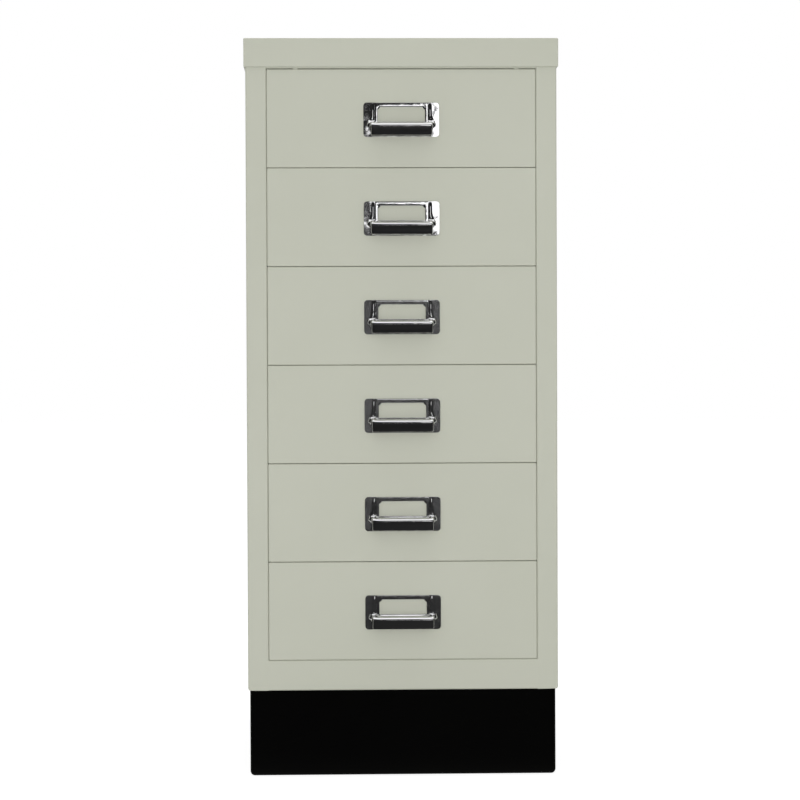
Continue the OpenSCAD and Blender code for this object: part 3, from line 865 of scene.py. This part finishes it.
def mix_by_ray(tree, otherwise, directly, surface):
    """Shows one shader to the rays of seen_directly, and another to the rest."""
    mix = node(tree, "ShaderNodeMixShader")
    tree.links.new(seen_directly(tree), mix.inputs[0])
    tree.links.new(otherwise.outputs[0], mix.inputs[1])
    tree.links.new(directly.outputs[0], mix.inputs[2])
    tree.links.new(mix.outputs[0], surface)


def floor():
    """Light floor. What the camera and reflections see of it is nearly white, with soft shadows."""
    bm = bmesh.new()
    bmesh.ops.create_grid(bm, x_segments=8, y_segments=8, size=12)
    made = add_object("floor", to_mesh(bm, "floor"))
    material, tree, surface = bare_material("floor")
    plain = node(tree, "ShaderNodeBsdfDiffuse", Color=(0.9, 0.9, 0.9, 1))
    dim = node(tree, "ShaderNodeBsdfDiffuse", Color=(0.4, 0.4, 0.4, 1))
    glow = node(tree, "ShaderNodeEmission", Color=WHITE, Strength=FLOOR_GLOW)
    both = node(tree, "ShaderNodeAddShader")
    tree.links.new(dim.outputs[0], both.inputs[0])
    tree.links.new(glow.outputs[0], both.inputs[1])
    mix_by_ray(tree, plain, both, surface)
    made.data.materials.append(material)


def world():
    """Soft ambient light; to the camera and in reflections the room is white."""
    made = bpy.data.worlds.new("studio")
    scene.world = made
    made.use_nodes = True
    tree = made.node_tree
    ambient = tree.nodes["Background"]
    ambient.inputs["Color"].default_value = WHITE
    ambient.inputs["Strength"].default_value = AMBIENT
    white = node(tree, "ShaderNodeBackground", Color=WHITE, Strength=1.0)
    mix_by_ray(tree, ambient, white, tree.nodes["World Output"].inputs["Surface"])


def card(name, corners):
    """Dark card with a faint uneven glow, seen in reflections alone."""
    mesh = bpy.data.meshes.new(name)
    mesh.from_pydata([Vector(c) for c in corners], [], [range(len(corners))])
    made = add_object(name, mesh)
    material, tree, surface = bare_material(name)
    dark = node(tree, "ShaderNodeEmission", Color=WHITE)
    glow = ramp(tree, noise_at(tree, object_coords(tree), 1.6), 0.0, 0.032)
    tree.links.new(glow, dark.inputs["Strength"])
    tree.links.new(dark.outputs[0], surface)
    mesh.materials.append(material)
    for seen_by in ("camera", "diffuse", "transmission", "volume_scatter", "shadow"):
        setattr(made, f"visible_{seen_by}", False)


def cards():
    """Dark surroundings in front of the object, up to a steep angle. The room above is white."""
    x, near, far, low = 1.5, -0.19, -3.0, 1.5
    roof, high = -1.15, 2.1
    card("card_front", [(-x, far, 0), (x, far, 0), (x, far, low), (-x, far, low)])
    card("card_roof", [(-x, far, low), (x, far, low), (x, roof, high), (-x, roof, high)])
    for name, side in (("card_left", -x), ("card_right", x)):
        card(name, [(side, far, 0), (side, near, 0), (side, near, low), (side, roof, high),
                    (side, far, low)])
    z = 0.003
    card("card_low", [(-x, far, z), (x, far, z), (x, near, z), (-x, near, z)])


camera()
floor()
world()
cards()
light("key", place=(-1.2, -2.4, 2.4), aim=(0, 0, 0.35), size=(1.6, 1.2), radiance=0.5)
light("front", place=(-0.1, -3.3, 0.31), aim=(0, 0, 0.3), size=(2.0, 0.6), radiance=7.1)
top = light("top", place=(0, -0.1, 2.7), aim=(0, -0.1, 0), size=(2.0, 1.6), radiance=2.1)
top.visible_glossy = False
# reflections on the upper pulls
light("window", place=(0.515, -2.55, 0.805), aim=(0.515, 0, 0.805), size=(0.80, 0.49),
      radiance=1.35)
light("window_low", place=(0.0575, -2.55, 0.695), aim=(0.0575, 0, 0.695), size=(0.115, 0.14),
      radiance=1.35)
scene.view_settings.view_transform = "Standard"
